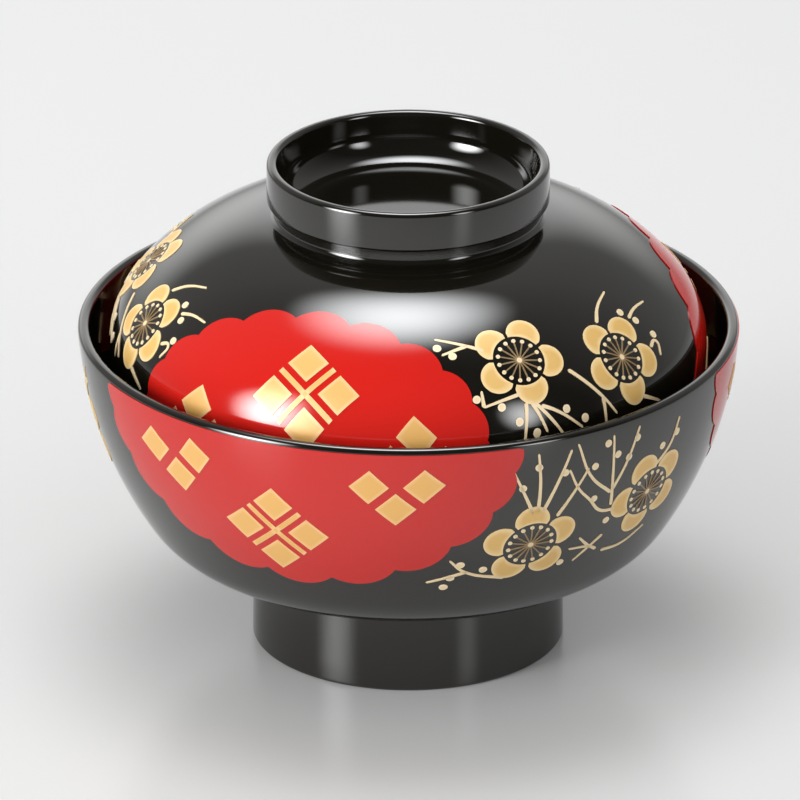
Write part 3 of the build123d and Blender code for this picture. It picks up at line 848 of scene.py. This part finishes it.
def figure(name, motif, marks, copies, size=1.0):
    """A flat drawing of a motif at all its places."""
    spots = places(name + "_places", marks)
    drawing = ring_of_copies.apply(name, Motif=motif, Places=spots, Copies=copies, Size=size)
    for helper_object in (motif, spots):
        bpy.data.objects.remove(helper_object)
    return drawing


def sheet_join(name, drawings):
    """One flat drawing from several."""
    with bpy.context.temp_override(active_object=drawings[0], selected_editable_objects=drawings):
        bpy.ops.object.join()
    drawings[0].name = name
    return drawings[0]


def paint(name, side, drawing, azimuths, layer, finish, slot, nodes):
    """A drawing laid on the bowl or the lid, in place of the CAD nodes that it stands for."""
    turns = places(name + "_turns", [((0, 0), azimuth - azimuths[0]) for azimuth in azimuths])
    piece = painted_on_wall.apply(
        name, drawing, Wall=side.wall, Turns=turns, Origin=side.origin(azimuths[0]),
        Lean=tuple(side.lean(azimuths[0]).to_euler()), Reach=ART_REACH * MM,
        Start_Height=ART_REACH_OUT * MM, Sink=PAINT_SINK * MM, Layer=layer * MM, Material=finish,
    )
    bpy.data.objects.remove(turns)
    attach(piece, side.body)
    if nodes:
        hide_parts(*nodes)
    return piece


# Motifs

def trimmed(drawing, side):
    """A flat drawing without what would go past the lower edge of the wall."""
    flat = bmesh.new()
    flat.from_mesh(drawing.data)
    for vert in flat.verts:
        vert.co.y = max(vert.co.y, side.limit(vert.co.x / MM, side.low) * MM)
    slivers = [face for face in flat.faces if face.calc_area() < SLIVER_AREA * MM ** 2]
    bmesh.ops.delete(flat, geom=slivers, context="FACES")
    flat.to_mesh(drawing.data)
    flat.free()
    return drawing


def cloud_motif(name, side, cloud):
    """A scalloped oval, cut off where the wall ends."""
    half_width, half_height, centre = cloud
    step = 360 / CLOUD_LOBES
    notches = [
        Vector((centre[0] + half_width * cos(radians(step * (lobe + 0.5))),
                centre[1] + half_height * sin(radians(step * (lobe + 0.5)))))
        for lobe in range(CLOUD_LOBES)
    ]
    outline = []
    for here, there in zip(notches, notches[1:] + notches[:1]):
        chord = there - here
        out = Vector((chord.y, -chord.x)).normalized()
        rise = chord.length * CLOUD_BULGE
        radius = (chord.length ** 2 / 4 + rise ** 2) / (2 * rise)
        middle = (here + there) / 2 - out * (radius - rise)
        half_turn = atan2(chord.length / 2, radius - rise)
        for number in range(LOBE_PIECES):
            turn = half_turn * (2 * number / LOBE_PIECES - 1)
            outline.append(middle + radius * (out * cos(turn) + chord.normalized() * sin(turn)))
    clipped = []
    hub = Vector(centre)
    for point in outline:
        share = 1.0
        for edge, sign in ((side.low, -1), (side.high, 1)):
            if edge is None:
                continue
            inside, outside = 0.0, 1.0
            for _ in range(CLIP_STEPS):
                middle = (inside + outside) / 2
                spot = hub + (point - hub) * middle
                if sign * (spot.y - side.limit(spot.x, edge)) > 0:
                    outside = middle
                else:
                    inside = middle
            share = min(share, outside)
        spot = hub + (point - hub) * share
        clipped.append((spot.x, spot.y))
    return patch(name, clipped, centre, CLOUD_RINGS)


def lozenge_motif(half_width, half_height, gap, side):
    """One lozenge of a crest: right, top, left or bottom as 0 to 3."""
    slant = hypot(half_width, half_height)
    inner_x = gap * slant / half_height
    inner_y = gap * slant / half_width
    across = (half_width - inner_x) / 2
    up = (half_height - inner_y) / 2
    middle = [((half_width + inner_x) / 2, 0), (0, (half_height + inner_y) / 2),
              (-(half_width + inner_x) / 2, 0), (0, -(half_height + inner_y) / 2)][side]
    corners = [(middle[0] + across, middle[1]), (middle[0], middle[1] + up),
               (middle[0] - across, middle[1]), (middle[0], middle[1] - up)]
    return patch("lozenge", straight_sided(corners, LOZENGE_PIECES), middle, LOZENGE_RINGS)


def bar_motifs():
    """The cross of a large crest: four arms and the middle between them."""
    slant = hypot(CREST_HALF_WIDTH, CREST_HALF_HEIGHT)
    along = Vector((CREST_HALF_WIDTH, CREST_HALF_HEIGHT)) / slant
    other = Vector((-CREST_HALF_WIDTH, CREST_HALF_HEIGHT)) / slant
    crossing = along.x * other.y - along.y * other.x
    notch = CREST_BAR / 2 / crossing
    tip = slant / 2
    sheets = []
    corners = [notch * (along + other), notch * (other - along),
               -notch * (along + other), notch * (along - other)]
    sheets.append(patch("bar_middle", straight_sided([tuple(c) for c in corners], 2), (0, 0), 2))
    for forward, sideways in ((along, other), (other, -along), (-along, -other), (-other, along)):
        square = Vector((-forward.y, forward.x)) * CREST_BAR / 2
        root_left = notch * (forward + sideways)
        root_right = notch * (forward - sideways)
        arm = [root_right, forward * tip - square, forward * tip + square, root_left]
        middle = sum(arm, Vector((0, 0))) / 4
        sheets.append(patch("bar_arm", straight_sided([tuple(c) for c in arm], 6), tuple(middle), 4))
    return sheets


def petal_motif():
    """One petal, pointing along x: a disc cut by the eye and by its neighbours."""
    half_turn = radians(180 / PETALS)
    middle = FLOWER_RADIUS - PETAL_RADIUS
    shift = PETAL_GAP / 2 / sin(half_turn)
    slope = tan(half_turn)
    along = cos(half_turn)
    toward = sin(half_turn)
    offset = (shift - middle) * toward
    reach = sqrt(PETAL_RADIUS ** 2 - offset ** 2)
    meet = (middle - shift) * along + reach
    corner = (shift + meet * along, meet * toward)
    start = atan2(corner[1], corner[0] - middle)
    inner = -shift * along + sqrt(EYE_RADIUS ** 2 - (shift * toward) ** 2)
    root = (shift + inner * along, inner * toward)
    root_turn = atan2(root[1], root[0])
    outline = []
    for k in range(PETAL_TIP_PIECES):
        turn = start * (2 * k / PETAL_TIP_PIECES - 1)
        outline.append((middle + PETAL_RADIUS * cos(turn), PETAL_RADIUS * sin(turn)))
    for k in range(PETAL_SIDE_PIECES):
        share = k / PETAL_SIDE_PIECES
        outline.append((corner[0] + (root[0] - corner[0]) * share,
                        corner[1] + (root[1] - corner[1]) * share))
    for k in range(PETAL_EYE_PIECES):
        turn = root_turn * (1 - 2 * k / PETAL_EYE_PIECES)
        outline.append((EYE_RADIUS * cos(turn), EYE_RADIUS * sin(turn)))
    for k in range(PETAL_SIDE_PIECES):
        share = k / PETAL_SIDE_PIECES
        outline.append((root[0] + (corner[0] - root[0]) * share,
                        -root[1] - (corner[1] - root[1]) * share))
    return patch("petal", outline, ((EYE_RADIUS + FLOWER_RADIUS) / 2, 0), PETAL_RINGS)


def stamen_motifs():
    """One stamen and its anther, pointing along x."""
    half = STAMEN_WIDTH / 2
    start = STAMEN_HEART_RADIUS * 0.9
    corners = [(start, -half), (STAMEN_LENGTH, -half), (STAMEN_LENGTH, half), (start, half)]
    stalk = patch("stalk", straight_sided(corners, 5), ((start + STAMEN_LENGTH) / 2, 0), 2)
    outline = [(STAMEN_LENGTH + ANTHER_RADIUS * cos(pi * k / 6), ANTHER_RADIUS * sin(pi * k / 6))
               for k in range(12)]
    anther = patch("anther", outline, (STAMEN_LENGTH, 0), 2)
    return stalk, anther


def paint_clouds(name, side, azimuths, cloud, crest, small_crests, small_sides, nodes, crest_nodes):
    """Red clouds with their lozenge crests."""
    paint(f"{name}_red_clouds", side, cloud_motif(f"{name}_cloud", side, cloud), azimuths,
          RED_LAYER, red_lacquer, "red_lacquer", nodes)
    sheets = [figure("crest", lozenge_motif(CREST_HALF_WIDTH, CREST_HALF_HEIGHT, CREST_GAP, k),
                     crest, 1) for k in range(4)]
    sheets += [figure("bars", sheet, crest, 1) for sheet in bar_motifs()]
    sheets += [figure("crest", lozenge_motif(SMALL_CREST_HALF_WIDTH, SMALL_CREST_HALF_HEIGHT,
                                             SMALL_CREST_GAP, k), small_crests, 1)
               for k in small_sides]
    drawing = sheet_join(f"{name}_crest_drawing", sheets)
    if side.low:
        drawing = trimmed(drawing, side)
    paint(f"{name}_lozenge_crests", side, drawing, azimuths, RED_LAYER + GOLD_LAYER, crest_gold, "gold",
          crest_nodes)


def paint_sprays(side, plum_azimuths, flowers, share, twigs, buds):
    """Plum sprays of the bowl or the lid."""
    body = side.body
    petals = figure("petals", petal_motif(), flowers, PETALS, share)
    paint(f"{body}_blossom_petals", side, petals, plum_azimuths, GOLD_LAYER, petal_gold, "gold",
          [f"{body}_plum_petals"])

    stalk, anther = stamen_motifs()
    stalks = figure("stalks", stalk, flowers, STAMENS, share)
    paint(f"{body}_blossom_stamens", side, stalks, plum_azimuths, GOLD_LAYER, stalk_gold, "gold",
          [f"{body}_plum_stamens"])
    pollen = [figure("anthers", anther, flowers, STAMENS, share),
              figure("hearts", disc("heart", STAMEN_HEART_RADIUS, 20, 3), flowers, 1, share)]
    paint(f"{body}_blossom_anthers", side, sheet_join(f"{body}_pollen_drawing", pollen),
          plum_azimuths, GOLD_LAYER, line_gold, "gold", [])

    ribbons = brush_strokes.apply(f"{body}_twig_drawing", strokes(f"{body}_twig_lines", twigs),
                                  Spacing=TWIG_SPACING * MM)
    paint(f"{body}_plum_branches", side, ribbons, plum_azimuths, GOLD_LAYER, line_gold, "gold",
          [f"{body}_plum_twigs"])

    dots = figure("buds", disc("bud", BUD_RADIUS, 18, 3), [(spot, 0.0) for spot in buds], 1)
    paint(f"{body}_plum_knops", side, dots, plum_azimuths, GOLD_LAYER, line_gold, "gold",
          [f"{body}_plum_buds"])


paint_clouds("bowl", bowl_side, CLOUD_AZIMUTHS, BOWL_CLOUD, BOWL_CREST, BOWL_SMALL_CRESTS, (0, 2, 3),
             ["bowl_red_cloud_1", "bowl_red_cloud_2", "bowl_red_cloud_3"], ["bowl_gold_crests"])
paint_clouds("lid", lid_side, CLOUD_AZIMUTHS[:1], LID_CLOUD, LID_CREST, LID_SMALL_CRESTS, (0, 1, 2),
             ["lid_red_cloud_1"], ["lid_gold_crests"])
paint_clouds("lid_lower", lid_lower_side, CLOUD_AZIMUTHS[1:], LID_CLOUD, LID_CREST, LID_SMALL_CRESTS,
             (0, 1, 2), ["lid_red_cloud_2", "lid_red_cloud_3"], [])
paint_sprays(bowl_side, BOWL_PLUM_AZIMUTHS, BOWL_FLOWERS, 1.0, BOWL_TWIGS, BOWL_BUDS)
paint_sprays(lid_side, LID_PLUM_AZIMUTHS, LID_FLOWERS, LID_FLOWER_SHARE, LID_TWIGS, LID_BUDS)
for wall in (bowl_wall, lid_wall):
    bpy.data.objects.remove(wall)

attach(bowl_skin, "bowl")
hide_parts("bowl_outer_lacquer", "bowl_inner_lacquer", "bowl_foot_lacquer")
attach(lid_skin, "lid")
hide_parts("lid_outer_lacquer", "lid_inner_lacquer")


# Floor, light and camera, in metres

FLOOR_HALF = 6.0
CURTAIN_FRONT = (0.04, 0.04, 0.04, 1)
CURTAIN_BACK = (0.38, 0.38, 0.375, 1)
FILL_FRONT = (1.45, 1.45, 1.455, 1)
FILL_BACK = (0.28, 0.28, 0.28, 1)
CAMERA_ELEVATION = 23.25
CAMERA_DISTANCE = 2.5
CAMERA_LENS = 548.6
CAMERA_AIM = (-0.00166, 0.0, 0.05106)
middle = Vector((0, 0, 0.06))

floor_board, floor_shader, floor_principled = material(
    "floor_board", {"Base Color": (0.42, 0.42, 0.417, 1), "Roughness": 0.22, "IOR": 1.3})
floor = helper("floor", [(x * FLOOR_HALF / MM, y * FLOOR_HALF / MM, 0)
                         for x, y in ((-1, -1), (1, -1), (1, 1), (-1, 1))], (), [(0, 1, 2, 3)])
floor.data.materials.append(floor_board)

world = bpy.data.worlds.new("studio")
bpy.context.scene.world = world
world.use_nodes = True
sky = Shader(world.node_tree)
backdrop = world.node_tree.nodes["Background"]
path = sky.add("ShaderNodeLightPath").outputs
mirrored = sky.math("MAXIMUM", path["Is Glossy Ray"], path["Is Transmission Ray"])
seen = sky.math("MAXIMUM", path["Is Camera Ray"], mirrored)
toward_back = sky.add("ShaderNodeSeparateXYZ",
                      {0: sky.add("ShaderNodeTexCoord").outputs["Generated"]}).outputs["Y"]
curtain = sky.blend(sky.spread(toward_back, -0.3, 0.6), CURTAIN_FRONT, CURTAIN_BACK)
fill = sky.blend(sky.spread(toward_back, -0.5, 0.5), FILL_FRONT, FILL_BACK)
tone = sky.blend(seen, fill, curtain)
world.node_tree.links.new(tone, backdrop.inputs["Color"])


def softbox(name, place, aim, width, height, radiance, colour=(1, 1, 1)):
    """A lamp that the camera doesn't see, as bright in its middle as given, with a soft edge."""
    data = bpy.data.lights.new(name, "AREA")
    data.shape = "RECTANGLE"
    data.size = width
    data.size_y = height
    data.energy = radiance * pi * width * height
    data.color = colour
    data.use_nodes = True
    shader = Shader(data.node_tree)
    spot = shader.add("ShaderNodeNewGeometry").outputs["Parametric"]
    from_middle = shader.add("ShaderNodeVectorMath", {0: spot, 1: (0.5, 0.5, 0.0)},
                             operation="DISTANCE").outputs["Value"]
    edge = shader.math("MINIMUM", shader.math("MULTIPLY", from_middle, 2.0), 1.0)
    inside = shader.math("SUBTRACT", 1.0, shader.math("MULTIPLY", edge, edge))
    glow = shader.math("MULTIPLY", inside, inside)
    data.node_tree.links.new(glow, data.node_tree.nodes["Emission"].inputs["Strength"])
    lamp = bpy.data.objects.new(name, data)
    lamp.location = place
    lamp.rotation_euler = (Vector(aim) - Vector(place)).to_track_quat("-Z", "Y").to_euler()
    lamp.visible_camera = False
    bpy.context.collection.objects.link(lamp)


def around_object(azimuth, elevation, distance):
    """A place at a distance from the middle of the object, its azimuth from the front."""
    a = radians(azimuth)
    e = radians(elevation)
    return middle + distance * Vector((sin(a) * cos(e), -cos(a) * cos(e), sin(e)))


softbox("top_softbox", around_object(azimuth=192, elevation=80, distance=1.15), middle,
        width=1.12, height=1.02, radiance=11.5, colour=(0.97, 0.985, 1.0))
softbox("left_strip", around_object(azimuth=-54, elevation=14, distance=1.2), middle,
        width=0.75, height=1.3, radiance=22)
softbox("right_strip", around_object(azimuth=44, elevation=17, distance=1.2), middle,
        width=0.45, height=0.9, radiance=6.8)
softbox("back_panel", place=(-0.25, 1.6, 0.5), aim=(-0.25, 0, 0.5), width=3.2, height=1.3,
        radiance=1.45)

camera_data = bpy.data.cameras.new("camera")
camera_data.lens = CAMERA_LENS
camera_data.sensor_width = 36.0
camera_data.clip_end = 50.0
camera = bpy.data.objects.new("camera", camera_data)
elevation = radians(CAMERA_ELEVATION)
camera.location = Vector(CAMERA_AIM) + CAMERA_DISTANCE * Vector((0, -cos(elevation), sin(elevation)))
camera.rotation_euler = (pi / 2 - elevation, 0, 0)
bpy.context.collection.objects.link(camera)
bpy.context.scene.camera = camera
bpy.context.scene.view_settings.view_transform = "Standard"
